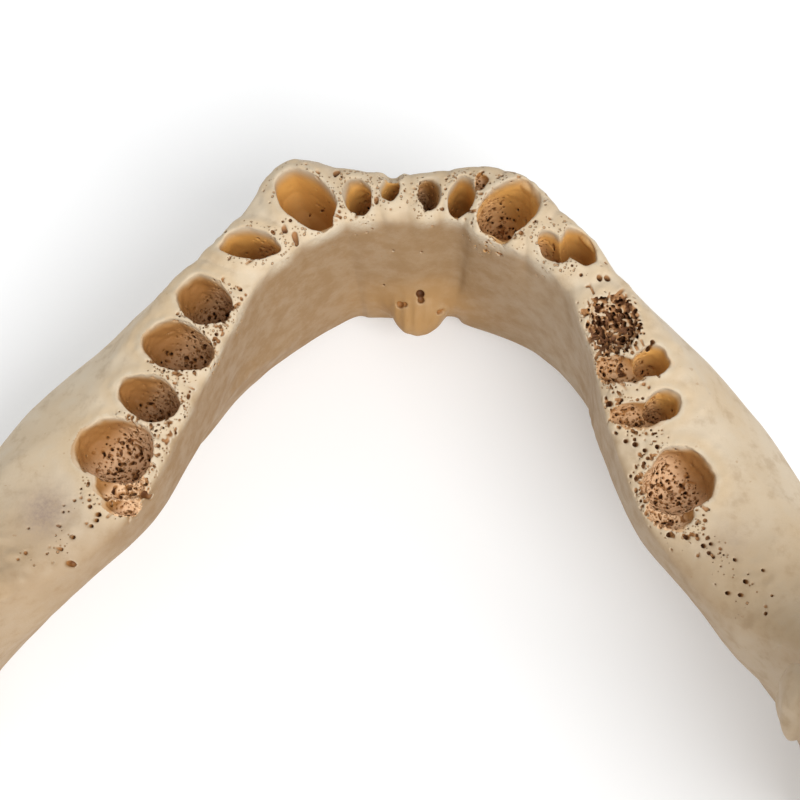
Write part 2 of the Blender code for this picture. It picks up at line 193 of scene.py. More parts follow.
# Tooth sockets and their lobes: side (1 is the jaw's left), middle out from the midline and back, half
# length, half width, turn of the length from sideways towards the back in degrees, depth, how far the
# floor lies behind the mouth, and how spongy its wall is from 0 to 1
SOCKETS = {
    "left central incisor": (1, 2.4, -0.3, 1.5, 1.15, 90, 4.5, 0.5, 0.5),
    "left lateral incisor": (1, 6.0, 0.8, 2.3, 1.55, 98, 7.0, 0.6, 0.5),
    "left canine": (1, 11.7, 1.7, 4.2, 2.85, 134, 8.5, 0.6, 0.1),
    "left first premolar": (1, 17.7, 7.4, 3.3, 1.85, -2, 7.5, 0.4, 0.4),
    "left second premolar": (1, 22.2, 14.3, 3.2, 2.75, -22, 7.0, 0.4, 0.85),
    "left first molar, front root": (1, 24.7, 19.7, 4.05, 2.9, -14, 6.5, 0.2, 0.9),
    "left first molar, back root": (1, 27.3, 25.8, 3.55, 2.55, -22, 6.5, 0.2, 0.9),
    "left second molar": (1, 30.6, 31.7, 4.5, 3.6, -2, 6.3, 0.2, 1.0),
    "left second molar, shelf": (1, 29.6, 35.6, 2.6, 1.7, 0, 2.2, 0.2, 1.0),
    "left second molar, pit": (1, 29.2, 37.7, 1.8, 0.9, 4, 3.2, 0.3, 1.0),
    "right central incisor": (-1, 2.1, -0.1, 1.9, 1.3, 88, 6.5, 0.6, 0.8),
    "right lateral incisor": (-1, 5.7, 0.2, 2.5, 1.5, 103, 7.0, 0.6, 0.2),
    "right lateral incisor, slope": (-1, 7.9, -1.5, 1.1, 0.7, 120, 1.3, 0.0, 1.0),
    "right canine": (-1, 11.2, 1.5, 4.0, 3.0, 134, 8.0, 0.7, 0.6),
    "right canine, notch": (-1, 10.5, 4.4, 1.5, 1.3, 60, 2.4, 0.2, 0.2),
    "right first premolar, inner": (-1, 16.3, 6.2, 2.2, 1.4, 48, 5.5, 0.3, 0.6),
    "right first premolar, outer": (-1, 19.1, 5.9, 2.6, 1.7, 52, 6.5, 0.4, 0.1),
    "right second premolar, healed": (-1, 23.3, 14.7, 3.2, 2.2, 48, 2.2, 0.1, 0.6),
    "right first molar, front root": (-1, 27.6, 18.8, 2.1, 1.7, -12, 5.0, 0.3, 0.4),
    "right first molar, front root, inner": (-1, 24.5, 19.9, 2.7, 1.6, 8, 2.4, 0.3, 1.0),
    "right first molar, back root": (-1, 29.0, 23.7, 2.1, 1.7, -34, 6.0, 0.4, 0.7),
    "right first molar, back root, inner": (-1, 26.3, 25.0, 2.7, 1.4, 4, 2.2, 0.2, 1.0),
    "right second molar": (-1, 31.1, 31.9, 3.9, 3.6, -12, 5.5, 0.2, 1.0),
    "right second molar, shelf": (-1, 30.4, 35.4, 2.4, 1.8, 18, 2.4, 0.2, 1.0),
}
SOCKET_TAPER = ((-0.3, 0.0, 0.3, 0.6, 0.85, 1.0), (1.1, 1.0, 0.95, 0.86, 0.66, 0.0))  # depth share, size
SOCKET_LOBING = 0.05  # how far the outline of a socket strays from an ellipse, as a share
SMOOTH_SIDE = (-0.8, 0.6)  # across each socket, outwards and back, from its smooth wall to its porous one
SLOPE_IN = 3.0  # how much more than back the floor of a spongy socket lies inwards
LIP_HEIGHT = 0.07  # the raised lip round each mouth
LIP_WIDTH = 0.35
WAIST = 0.4  # how deep the rim is worn away between one socket and the next
EDGE = 0.22  # the rounding of the socket mouths
WALL = 0.75  # the least bone that a socket leaves to the outside

# The open sponge in the healed second premolar socket: middle and reach
SPONGE = ((-23.3, 14.8), (3.0, 3.5))

# Rounded bumps: middle, the three half sizes, the tilt about X, Y and Z in degrees, and how widely the
# bump melts into the bone
GENIAL_SPUR = ((-0.6, 5.9, 8.2), (2.8, 3.4, 2.5), (-20, 0, 0), 2.4)
SPUR_BASE = ((-1.2, 4.7, 8.6), (4.4, 1.8, 3.8), (0, 0, 0), 2.4)
LINGULA = ((43.5, 56.6, 31.2), (1.1, 2.7, 3.6), (10, 0, -3), 4.0)
SPUR_FLUTING = (1.3, 0.07)  # the fine upright ridges on the spur: from one to the next, and how high

# Muscle marks on the left half, which the right half mirrors: the points of a line, or a middle and reach
OBLIQUE_LINE = ((47.5, 49, 33), (45.5, 43, 27.5), (41.5, 34, 22.5), (37.5, 26, 16), (33, 18, 10))
MYLOHYOID_LINE = ((38.5, 47, 23.5), (33.5, 39, 21.5), (27.5, 29, 17.5), (21, 19, 12.5), (15, 12, 8.5))
GLAND_HOLLOW = ((36, 41, 12), (31, 33, 9.5), (25, 24, 8))
DIGASTRIC_HOLLOW = ((5.5, 4.5, 0.8), (3.6, 3.2, 2.5))
CONDYLE_HOLLOW = ((46.5, 83.0, 52.5), (4.0, 2.6, 3.0))
ANGLE_MARKS = ((63, 12), (9, 10))  # back and up

# Bites out of the rim in front of the left central incisor socket, whose wall is gone: middle and the
# three half sizes
BREAKS = (
    ((2.3, -3.2, CREST - 0.1), (1.4, 2.4, 2.6)),
    ((3.6, -3.4, CREST + 0.3), (0.8, 1.9, 1.9)),
    ((-0.3, -3.0, CREST + 0.6), (1.3, 1.5, 1.0)),
)

# Single pores and pits that the photograph shows, each by the surface: place, radius and depth
NAMED_HOLES = (
    (3.3, 5.4, 12.7, 0.15, 0.6), (-1.2, 4.1, 20.1, 0.15, 0.4), (-2.6, 3.1, 25.1, 0.18, 0.5),
    (2.0, 4.2, 20.5, 0.14, 0.4), (13.9, 5.4, 28.0, 0.3, 0.5), (12.9, 6.0, 27.5, 0.34, 1.0),
    (10.6, -1.6, 28.4, 0.24, 0.9), (8.5, -2.0, 27.6, 0.42, 1.3), (9.0, 0.9, 28.4, 0.22, 0.8),
    (8.7, 2.0, 28.0, 0.18, 0.6), (3.8, 0.8, 27.7, 0.26, 1.0), (18.3, 12.7, 27.6, 0.22, 0.7),
    (-10.1, 6.4, 24.5, 0.28, 0.4), (-21.2, 9.4, 27.4, 0.34, 0.9), (-21.9, 9.5, 26.8, 0.38, 0.9),
    (-26.9, 16.2, 26.7, 0.34, 1.0), (-27.6, 16.7, 27.7, 0.28, 0.9), (-23.5, 23.6, 26.1, 0.3, 1.0),
    (-26.4, 28.2, 26.2, 0.28, 0.7), (-27.4, 28.9, 26.6, 0.23, 0.7), (-28.5, 28.5, 27.0, 0.26, 0.6),
    (-25.3, 27.8, 26.4, 0.24, 0.6), (-30.2, 37.9, 25.6, 0.26, 0.7), (-32.1, 38.2, 26.2, 0.28, 0.7),
    (-38.5, 43.0, 26.3, 0.26, 0.9), (-36.7, 44.0, 25.7, 0.22, 0.8), (-38.1, 44.3, 26.2, 0.22, 0.7),
    (-40.2, 41.6, 26.3, 0.18, 0.8), (-37.3, 40.5, 26.1, 0.2, 0.7), (-33.8, 39.1, 25.4, 0.26, 0.8),
    (-34.8, 38.8, 25.5, 0.2, 0.7), (27.7, 35.9, 25.6, 0.42, 1.8), (31.6, 39.1, 25.8, 0.26, 0.8),
    (31.9, 39.6, 25.5, 0.22, 0.8), (32.5, 40.2, 25.1, 0.2, 0.7), (34.2, 41.8, 25.7, 0.22, 0.6),
    (31.2, 37.1, 26.1, 0.2, 0.6), (33.4, 45.4, 26.2, 0.34, 0.8), (1.3, 7.0, 10.6, 0.42, 0.3),
    (0.7, 7.0, 10.9, 0.3, 0.25), (-3.0, 7.2, 9.7, 0.3, 0.25), (-3.5, 7.2, 9.6, 0.26, 0.25),
    (-1.0, 6.6, 11.4, 0.4, 0.4),
)

# Kinds of pores: from one to the next, the least and greatest radius and depth, how far they stray from
# straight in, and the share of them that are slots
PORES = {
    "socket": (0.52, (0.09, 0.19), (0.4, 1.1), 0.5, 0.4),
    "rim": (0.6, (0.1, 0.23), (0.1, 0.55), 0.25, 0.1),
    "wide sponge": (0.54, (0.14, 0.26), (0.8, 2.2), 0.4, 0.2),
    "fine sponge": (0.4, (0.09, 0.15), (0.4, 1.0), 0.8, 0.4),
}
PORE_SEED = 2024

# Grey stains on the shelves behind the sockets: strength, middle and reach
STAINS = ((1.0, (37.4, 39.1), (2.4, 2.6)), (0.3, (-36.6, 38.4), (2.2, 2.2)))
THIN = 0.9  # a wall thinner than this is paler

# Canals: the two ends and the radius
LINGUAL_HOLE = ((-1.0, 7.2, 14.6), (-1.0, 5.8, 11.5), 0.5)
MENTAL_HOLE = ((29.6, 7.5, 15.0), (26.4, 14.2, 12.6), 1.25)
MANDIBULAR_HOLE = ((42.0, 64.8, 34.5), (46.6, 66.6, 27.5), 1.6)
CANAL_EDGE = 0.8  # the rounding of the mouths of the two wide ones

# The hash that gives each corner of the noise its value
HASH_STEPS = (73856093, 19349663, 83492791)
HASH_RANGE = 2 ** 31 - 1


def rise(low, high, value):
    """0 up to low, 1 from high on, with a soft rise between."""
    part = np.clip((value - low) / (high - low), 0, 1)
    return part * part * (3 - 2 * part)


def through(knots, values, at):
    """The smooth curve through values at knots, read at the places in at."""
    slopes = np.gradient(values, knots, axis=0)
    left = np.clip(np.searchsorted(knots, at) - 1, 0, len(knots) - 2)
    width = (knots[left + 1] - knots[left])[:, None]
    part = (at[:, None] - knots[left][:, None]) / width
    rest = 1 - part
    return (
        rest * rest * (1 + 2 * part) * values[left]
        + part * part * (1 + 2 * rest) * values[left + 1]
        + rest * part * width * (rest * slopes[left] - part * slopes[left + 1])
    )


def section_table():
    """Stops and section rows of the whole bone, from the right condyle to the left one."""
    stops = np.array([section[0] for section in SECTIONS.values()])
    rows = np.array([(*top, *foot, turn, *outer, *inner, *rounding)
                     for _, top, foot, turn, outer, inner, rounding in SECTIONS.values()])
    mirrored = rows[:0:-1].copy()
    mirrored[:, ODD] *= -1
    rows = np.concatenate((mirrored, rows))
    for name, side, out, back, outer, inner in UNEVEN:
        row = rows[len(SECTIONS) - 1 + side * list(SECTIONS).index(name)]
        row[[0, 3]] += side * out
        row[[1, 4]] += back
        row[7:12] += outer
        row[12:17] += inner
    return np.concatenate((-stops[:0:-1], stops)), rows


def ring(row, count):
    """One closed section of the bone, up its outer face and down its inner face."""
    top, foot, turn = row[0:3], row[3:6], math.radians(row[6])
    outward = np.array((math.sin(turn), -math.cos(turn), 0))
    angle = np.linspace(0, 2 * math.pi, count, endpoint=False)
    level = (1 - np.cos(angle)) / 2
    outer, inner = through(LEVELS, np.stack((row[7:12], row[12:17]), axis=1), level).T
    length = np.linalg.norm(top - foot)
    near_foot = np.minimum(level * length / row[17], 1)
    near_top = np.minimum((1 - level) * length / row[18], 1)
    cap = np.sqrt(near_foot * (2 - near_foot) * near_top * (2 - near_top))
    offset = np.where(angle < math.pi, outer, -inner) * cap
    return foot + (top - foot) * level[:, None] + outward * offset[:, None]


def noise(points, size, seed):
    """Smooth noise from -1 to 1 at points, with lumps about size across."""
    place = points / size + seed * 7.31
    cell = np.floor(place).astype(np.int64)
    part = place - cell
    part = part * part * (3 - 2 * part)
    total = np.zeros(len(points))
    for corner in itertools.product((0, 1), repeat=3):
        key = (cell + corner) * HASH_STEPS
        mixed = (key[:, 0] ^ key[:, 1] ^ key[:, 2]) & 0xFFFFFFF
        mixed = (mixed * 48271 + seed * 1013) % HASH_RANGE
        mixed = (mixed ^ (mixed >> 11)) * 16807 % HASH_RANGE
        weight = np.where(corner, part, 1 - part).prod(axis=1)
        total += (mixed / (HASH_RANGE / 2) - 1) * weight
    return total


def ridge(points, path, width):
    """1 on the open path through a few points, falling off over its width."""
    path = np.array(path, float)
    steps = through(np.arange(len(path)), path, np.linspace(0, len(path) - 1, 30))
    nearest = np.full(len(points), 1e9)
    for place in steps:
        nearest = np.minimum(nearest, ((points - place) ** 2).sum(axis=1))
    return np.exp(-nearest / width ** 2)


def bell(points, middle, reach):
    """1 at the middle, falling off smoothly over the reach."""
    return np.exp(-(((points - middle) / reach) ** 2).sum(axis=1))


def relief(points, normals):
    """How far the loft's surface stands out or in, for muscle marks, root bulges and uneven growth."""
    side = np.abs(points) * (1, 0, 0) + points * (0, 1, 1)
    outward = normals[:, 0] * np.sign(points[:, 0])
    lift = 0.16 * noise(points, 11, 1) + 0.09 * noise(points, 4.2, 2) + 0.035 * noise(points, 1.5, 3)
    height = points[:, 2]
    for name, (which, out, back, half, _, turn, depth, _, _) in SOCKETS.items():
        if "molar" in name or "notch" in name:
            continue
        middle = np.array((which * out, back))
        apart = np.linalg.norm(points[:, :2] - middle, axis=1)
        facing = np.clip(-normals[:, 1] * 0.8 + outward * 0.6, 0, 1)
        bulge = {"left canine": 0.5, "right canine": 0.0}.get(name, 0.25)
        upright = rise(CREST - depth * 1.5, CREST - 3, height)
        lift += bulge * facing * upright * np.exp(-(apart / (half + 2.2)) ** 2)
    lift += 0.55 * ridge(side, OBLIQUE_LINE, 2.4) * np.clip(outward + 0.3, 0, 1)
    inner = np.clip(-outward, 0, 1)
    lift += 0.5 * ridge(side, MYLOHYOID_LINE, 1.5) * inner
    lift -= 0.9 * ridge(side, GLAND_HOLLOW, 5.5) * inner
    lift -= 0.5 * bell(side, *DIGASTRIC_HOLLOW)
    stripes = np.sin(side[:, 1] * 1.15 + side[:, 2] * 0.75 + 1.3 * noise(points, 7, 5))
    lift += 0.3 * bell(side[:, 1:], *ANGLE_MARKS) * stripes
    lift -= 1.1 * bell(side, *CONDYLE_HOLLOW)
    return lift


def loft():
    """The bone without its sockets: points, triangles and quads of one closed skin."""
    stops, rows = section_table()
    last = stops[-1]
    places = np.linspace(-last, last, 2 * round(last * RINGS_PER_STOP) + 1)
    rings = np.array([ring(row, RING_POINTS) for row in through(stops, rows, places)])
    along = np.gradient(rings, axis=0)
    around = (np.roll(rings, -1, axis=1) - np.roll(rings, 1, axis=1)) / 2
    normals = np.cross(around, along).reshape(-1, 3)
    normals /= np.linalg.norm(normals, axis=1, keepdims=True) + TINY
    points = rings.reshape(-1, 3)
    middle = rings.mean(axis=1, keepdims=True)
    if ((rings - middle).reshape(-1, 3) * normals).sum() < 0:
        normals = -normals
    points = points + normals * relief(points, normals)[:, None]
    points[:, 2] = np.maximum(points[:, 2], REST_FLAT) - REST_FLAT
    count = RING_POINTS
    first = np.arange(count)
    before = np.arange(len(places) - 1)[:, None] * count
    lower = (before + first).ravel()
    after = (before + np.roll(first, -1)).ravel()
    quads = np.stack((lower, after, after + count, lower + count), axis=1)
    ends = []
    for start, turn in ((0, 1), (len(points) - count, -1)):
        fan = np.stack((np.zeros(count - 2, int), first[1:-1], first[2:]), axis=1)
        ends.append(start + fan[:, ::turn])
    return points, np.concatenate(ends), quads


def field_of(points, triangles, quads):
    """The distance field of a closed skin."""
    return openvdb.FloatGrid.createLevelSetFromPolygons(
        points.astype(np.float32), triangles=triangles.astype(np.uint32), quads=quads.astype(np.uint32),
        transform=openvdb.createLinearTransform(voxelSize=VOXEL), halfWidth=BAND_VOXELS)


class Block:
    """A box of samples of a field, from one corner to the other, that can be carved and put back."""

    def __init__(self, field, low, high):
        self.field = field
        self.first = np.floor(np.array(low) / VOXEL).astype(int)
        self.corner = tuple(int(n) for n in self.first)
        count = np.ceil(np.array(high) / VOXEL).astype(int) - self.first
        self.values = np.empty(count, np.float32)
        self.read()

    def read(self):
        self.field.copyToArray(self.values, ijk=self.corner)

    def write(self):
        np.clip(self.values, -BAND, BAND, out=self.values)
        self.field.copyFromArray(self.values, ijk=self.corner, tolerance=0)

    def part(self, middle, reach):
        """The samples within reach of middle, with their X, Y and Z from it."""
        middle, reach = np.array(middle, float), np.broadcast_to(reach, 3)
        low = np.clip(np.floor((middle - reach) / VOXEL).astype(int) - self.first, 0, self.values.shape)
        high = np.clip(np.ceil((middle + reach) / VOXEL).astype(int) - self.first, 0, self.values.shape)
        where = tuple(slice(a, b) for a, b in zip(low, high))
        axes = [(np.arange(a, b) + f) * VOXEL - m for a, b, f, m in zip(low, high, self.first, middle)]
        return where, np.meshgrid(*axes, indexing="ij", sparse=True)

    def sample(self, points, outside):
        """The field at points, or the value outside for those beyond the block."""
        place = points / VOXEL - self.first
        inside = ((place >= 0) & (place < np.array(self.values.shape) - 1.001)).all(axis=1)
        result = np.full(len(points), outside, np.float32)
        cell = np.floor(place[inside]).astype(int)
        part = place[inside] - cell
        total = np.zeros(len(cell), np.float32)
        for corner in itertools.product((0, 1), repeat=3):
            weight = np.where(corner, part, 1 - part).prod(axis=1)
            total += self.values[tuple((cell + corner).T)] * weight
        result[inside] = total
        return result


def grid_noise(shape, size, seed):
    """Smooth noise from -1 to 1 on the samples of a block."""
    rng = np.random.default_rng(seed)
    count = [int(n * VOXEL / size) + 3 for n in shape]
    values = rng.uniform(-1, 1, count).astype(np.float32)
    for axis, n in enumerate(shape):
        place = np.arange(n) * VOXEL / size
        low = np.floor(place).astype(int)
        part = place - low
        part = (part * part * (3 - 2 * part)).astype(np.float32)
        part = part.reshape([-1 if a == axis else 1 for a in range(3)])
        values = np.take(values, low, axis) * (1 - part) + np.take(values, low + 1, axis) * part
    return values


def soft_max(a, b, round_off):
    """The greater of two fields, which cuts one from the other, with a rounded edge."""
    near = np.maximum(round_off - np.abs(a - b), 0) / round_off
    return np.maximum(a, b) + near * near * round_off / 4


def crest_height(x, y):
    """Height of the rim at the place along the arch nearest to x, y."""
    stops, rows = section_table()
    tops = through(stops, rows, np.linspace(-4, 4, 161))[:, :3]
    return tops[np.argmin(np.hypot(tops[:, 0] - x, tops[:, 1] - y)), 2] - REST_FLAT


def lobing(name, angle):
    """How a socket's outline strays from an ellipse, as a factor at each angle."""
    rng = np.random.default_rng(sum(map(ord, name)))
    factor = 1.0
    for waves in (2, 3, 4, 5, 7):
        factor = factor + SOCKET_LOBING * rng.uniform(0.3, 1.0) / math.sqrt(waves) * np.cos(
            waves * angle + rng.uniform(0, 6.3))
    return factor


def socket_frame(name, x, y, share):
    """How far out places lie in a socket at each depth share, 1 on its outline, and its mean half width."""
    side, out, back, half_length, half_width, turn, _, lean, sponge = SOCKETS[name]
    turn = math.radians(turn)
    dx = x * side - out + np.maximum(share, 0) * lean * sponge * SLOPE_IN
    dy = y - back - np.maximum(share, 0) * lean
    u = dx * math.cos(turn) + dy * math.sin(turn)
    v = dy * math.cos(turn) - dx * math.sin(turn)
    radial = np.hypot(u / half_length, v / half_width)
    factor = lobing(name, np.arctan2(v / half_width, u / half_length))
    return radial / factor, math.sqrt(half_length * half_width)


def mouth_distance(x, y):
    """Distance outside the nearest socket mouth, seen from above."""
    nearest = np.full(np.broadcast(x, y).shape, 1e3)
    for name in SOCKETS:
        radial, size = socket_frame(name, x, y, 0.0)
        nearest = np.minimum(nearest, (radial - 1) * size)
    return nearest


def shape_rim(block):
    """Wears the rim away between the sockets and raises a lip round each mouth."""
    shape, first = block.values.shape, block.first
    x, y, z = [((np.arange(n) + f) * VOXEL).astype(np.float32) for n, f in zip(shape, first)]
    apart = mouth_distance(x[:, None].astype(float), y[None, :].astype(float))
    waist = WAIST * rise(0.9, 2.6, apart) * (1 - 0.75 * rise(3.2, 6.5, apart))
    front = 0.2 + 0.8 * rise(16, 8, np.broadcast_to(y[None, :], apart.shape))
    lip = LIP_HEIGHT * np.exp(-((apart - 0.3) / LIP_WIDTH) ** 2)
    high = rise(CREST - 10, CREST - 1.5, z).astype(np.float32)
    top = rise(CREST - 3.5, CREST - 1, z).astype(np.float32)
    wear = (waist * front).astype(np.float32)
    lip = (lip * front).astype(np.float32)
    block.values += wear[:, :, None] * high - lip[:, :, None] * top
    wavy = grid_noise(shape, 2.4, 11) * 0.18 + grid_noise(shape, 0.9, 12) * 0.12
    block.values += wavy * top


def cut_socket(block, whole, name):
    """Cuts one cup with a rounded floor, a wavy outline and an uneven wall, inside the bone's skin."""
    side, out, back, half_length, half_width, _, depth, lean, spongy = SOCKETS[name]
    rim = crest_height(side * out, back)
    reach = (half_length + 2, half_length + 2 + lean, depth + 3)
    where, (x, y, z) = block.part((side * out, back, rim), reach)
    share = -z / depth
    x, y = x + side * out, y + back
    radial, size = socket_frame(name, x, y, share)
    wide = np.interp(share, *SOCKET_TAPER)
    close = np.sqrt(np.clip(1 - (np.clip(share - 0.55, 0, 1) / 0.45) ** 2, 0, 1))
    cup = (radial - wide * (0.25 + 0.75 * close)) * size
    cup = np.maximum(cup, (share - 1) * depth)
    seed = sum(map(ord, name))
    rough = grid_noise(cup.shape, 1.5, seed) * 0.12 + grid_noise(cup.shape, 0.6, seed + 1) * 0.07
    cup = cup + rough * (0.4 + spongy)
    if depth > 4:
        cup = np.maximum(cup, whole[where] + WALL * rise(0.8, 2.2, share * depth))
    block.values[where] = soft_max(block.values[where], -cup, EDGE)


def in_sizes(x, y, z, sizes):
    """Distance from the origin, counted along each axis in its own size."""
    return np.sqrt((x / sizes[0]) ** 2 + (y / sizes[1]) ** 2 + (z / sizes[2]) ** 2)


def scoop(block, middle, sizes):
    """Takes a rounded, slightly uneven bite out of the bone."""
    where, (x, y, z) = block.part(middle, np.array(sizes) + 1)
    ball = (in_sizes(x, y, z, sizes) - 1) * min(sizes)
    ball = ball + grid_noise(ball.shape, 0.8, 31) * 0.12
    block.values[where] = soft_max(block.values[where], -ball, EDGE)


def capsule(x, y, z, reach, radius):
    """Distance outside a rod with round ends, from the origin to reach."""
    length = float(np.dot(reach, reach)) + TINY
    along = np.clip((x * reach[0] + y * reach[1] + z * reach[2]) / length, 0, 1)
    apart = (x - along * reach[0]) ** 2 + (y - along * reach[1]) ** 2 + (z - along * reach[2]) ** 2
    return np.sqrt(apart) - radius


def drill(block, start, end, radius, round_off=0.1):
    """Cuts a round hole between two points."""
    start, end = np.array(start, float), np.array(end, float)
    reach = np.abs(end - start) / 2 + radius + 0.4
    where, (x, y, z) = block.part((start + end) / 2, reach)
    half = (end - start) / 2
    hole = capsule(x + half[0], y + half[1], z + half[2], end - start, radius)
    block.values[where] = soft_max(block.values[where], -hole, round_off)


def largest_piece(count, sides):
    """True for the points of the largest piece that the sides join up."""
    label = np.arange(count)
    while True:
        one, other = label[sides[:, 0]], label[sides[:, 1]]
        apart = one != other
        if not apart.any():
            break
        label[np.maximum(one, other)[apart]] = np.minimum(one, other)[apart]
        settled = label[label]
        while (settled != label).any():
            label, settled = settled, settled[settled]
    names, counts = np.unique(label, return_counts=True)
    return label == names[counts.argmax()]


def mesh_of(field, flatness):
    """Points, triangles and quads of the field's surface, without its loose scraps, and the normals."""
    points, triangles, quads = field.convertToPolygons(0.0, flatness)
    triangles = triangles.astype(np.int64)
    quads = quads.astype(np.int64)
    sides = [triangles[:, [a, (a + 1) % 3]] for a in range(3)]
    sides += [quads[:, [a, (a + 1) % 4]] for a in range(4)]
    kept = largest_piece(len(points), np.concatenate(sides))
    new = np.cumsum(kept) - 1
    triangles = new[triangles[kept[triangles[:, 0]]]]
    quads = new[quads[kept[quads[:, 0]]]]
    points = points[kept].astype(float)
    normals = normals_of(points, triangles, quads)
    if (points * normals).sum() < 0:
        normals = -normals
        triangles, quads = triangles[:, ::-1], quads[:, ::-1]
    return points, triangles, quads, normals


def normals_of(points, triangles, quads):
    """Normals at the points, out of the bone."""
    normals = np.zeros_like(points)
    for faces in (triangles, quads):
        if not len(faces):
            continue
        one = points[faces[:, 2]] - points[faces[:, 0]]
        other = points[faces[:, -1]] - points[faces[:, 1]]
        across = np.cross(one, other)
        for corner in faces.T:
            np.add.at(normals, corner, across)
    return normals / (np.linalg.norm(normals, axis=1, keepdims=True) + TINY)


def scattered(rng, places, chance, spacing):
    """Indices of places chosen at random, at most one in each cell of a grid."""
    order = rng.permutation(np.flatnonzero(chance > 0.02))
    cells = np.floor((places[order] + rng.uniform(0, spacing, 3) + 200) / spacing).astype(np.int64)
    _, first = np.unique((cells[:, 0] * 4096 + cells[:, 1]) * 4096 + cells[:, 2], return_index=True)
    picked = order[first]
    return picked[rng.random(len(picked)) < chance[picked]]


def socket_shares(points, normals):
    """How deep each point lies in a socket, from 0 to 1, and how spongy it and its whole socket are."""
    deepest = np.zeros(len(points))
    spongy = np.zeros(len(points))
    coarse = np.zeros(len(points))
    for name, (side, out, back, half_length, half_width, _, depth, lean, sponge) in SOCKETS.items():
        if "notch" in name:
            continue
        rim = crest_height(side * out, back)
        middle = (side * out, back, rim - depth / 2)
        near = np.abs(points - middle) < (half_length + 2, half_length + 3, depth)
        near = np.flatnonzero(near.all(axis=1))
        share = (rim - points[near, 2]) / depth
        radial, size = socket_frame(name, points[near, 0], points[near, 1], share)
        wide = np.interp(share, *SOCKET_TAPER)
        aside = (points[near, 0] * side - out, points[near, 1] - back - np.clip(share, 0, 1) * lean)
        turned_in = (aside[0] * side * normals[near, 0] + aside[1] * normals[near, 1]) < 0.25 * size
        within = (radial * size < wide * size + 0.45) & turned_in & (share > -0.05) & (share < 1.25)
        share = np.where(within, np.clip(share, 0, 1), 0)
        deeper = share > deepest[near]
        deepest[near] = np.where(deeper, share, deepest[near])
        across = (aside[0] * SMOOTH_SIDE[0] + aside[1] * SMOOTH_SIDE[1]) / size
        porous = rise(-0.7 - sponge * 0.3, 0.35, across)
        floor = sponge * (0.3 + 0.7 * rise(0.1, 0.6, share)) * porous
        spongy[near] = np.where(deeper, floor, spongy[near])
        coarse[near] = np.where(deeper, sponge > 0.7, coarse[near])
    return deepest, spongy, coarse


def rim_chance(points, normals, depth_share):
    """How likely a pore is on the rim: between the sockets, behind the last ones and round the front ones."""
    x, y, z = points.T
    apart = mouth_distance(x, y)
    out = np.abs(x)
    level = np.interp(y, (0, 10, 20, 32, 45), (CREST, CREST + 0.5, CREST, CREST - 1.2, CREST - 1.2))
    upward = rise(0.45, 0.85, normals[:, 2]) * (z > level - 2.6) * (depth_share < 0.03)
    between = rise(0.1, 0.4, apart) * rise(2.6, 1.2, apart) * rise(9.0, 16.0, y)
    between *= rise(39, 35, y) * rise(2.2, -0.6, out - 21.5 - (y - 12) * 0.48)
    behind = rise(36.0, 38, y) * rise(47.5, 43, y)
    behind *= np.exp(-((out - 30.0 - (y - 35) * 0.95) / 2.8) ** 2)
    front = 0.22 * rise(11, 5, y) * rise(0.15, 0.4, apart) * rise(2.0, 1.0, apart)
    return upward * (between + 0.28 * behind + 0.8 * front)


def fine_share(points, normals, depth_share, spongy):
    """How much of the surface has pores too fine to cut, from 0 to 1."""
    x, y, z = points.T
    apart = mouth_distance(x, y)
    upward = rise(0.2, 0.7, normals[:, 2]) * rise(CREST - 5, CREST - 2.5, z)
    upward *= depth_share < 0.05
    patch = 0.35 + 0.65 * rise(-0.3, 0.4, noise(points, 2.2, 23))
    inward = rise(2.4, -0.4, np.abs(x) - 21.5 - (y - 12) * 0.48) * rise(-4.6, -2.2, y)
    between = rise(2.2, 0.5, apart) * rise(40, 36, y) * inward
    behind = rise(36.0, 38, y) * rise(50, 43, y)
    behind *= rise(5.5, 1.0, np.abs(np.abs(x) - 5.5 - y * 0.72))
    return np.clip(upward * patch * (0.6 * between + 0.25 * behind) + 0.75 * spongy, 0, 1)


def in_sponge(points):
    """1 in the healed socket with the open sponge, falling to 0 round it."""
    apart = (points[:, :2] - SPONGE[0]) / SPONGE[1]
    return rise(1.15, 0.85, np.linalg.norm(apart, axis=1)) * (points[:, 2] > CREST - 5)


def pore_field(block, points, normals):
    """Drills the pores of the socket walls, the rim and the places behind the last molars."""
    rng = np.random.default_rng(PORE_SEED)
    share, spongy, _ = socket_shares(points, normals)
    patch = 0.5 + 0.5 * noise(points, 2.6, 21)
    sponge = in_sponge(points)
    rim = rim_chance(points, normals, share) * (0.25 + 1.3 * patch) * (1 - sponge)
    chances = {
        "socket": np.clip(spongy * (0.7 + 0.9 * patch), 0, 0.97),
        "rim": np.clip(rim * 0.75, 0, 0.8),
        "wide sponge": sponge * 0.85 * rise(-0.3, 0.5, normals[:, 2]),
        "fine sponge": sponge * 0.8,
    }
    for kind, (spacing, radii, depths, tilt, slotted) in PORES.items():
        for i in scattered(rng, points, chances[kind], spacing):
            inward = -normals[i] + rng.normal(0, tilt, 3)
            inward /= np.linalg.norm(inward)
            radius = radii[0] + (radii[1] - radii[0]) * rng.random() ** 1.6
            start = points[i] - inward * 0.1
            end = points[i] + inward * rng.uniform(*depths)
            if rng.random() < slotted:
                end = end + np.cross(inward, rng.normal(0, 1, 3)) * 0.4
            drill(block, start, end, radius)


def named_holes(block, points):
    """The single holes and pits that the photograph shows, each set on the nearest surface."""
    for *guess, radius, depth in NAMED_HOLES:
        place = points[((points - guess) ** 2).sum(axis=1).argmin()]
        middle = np.array((place[0] * 0.9, max(14.0, place[1] - 2.0), place[2] - 8.0))
        lingual = place[1] < 9 and abs(place[0]) < 12 and place[2] < 25
        inward = (middle - place) * (1, -1 if lingual else 1, 1)
        inward /= np.linalg.norm(inward)
        drill(block, place - inward * 0.15, place + inward * depth, radius, 0.15)


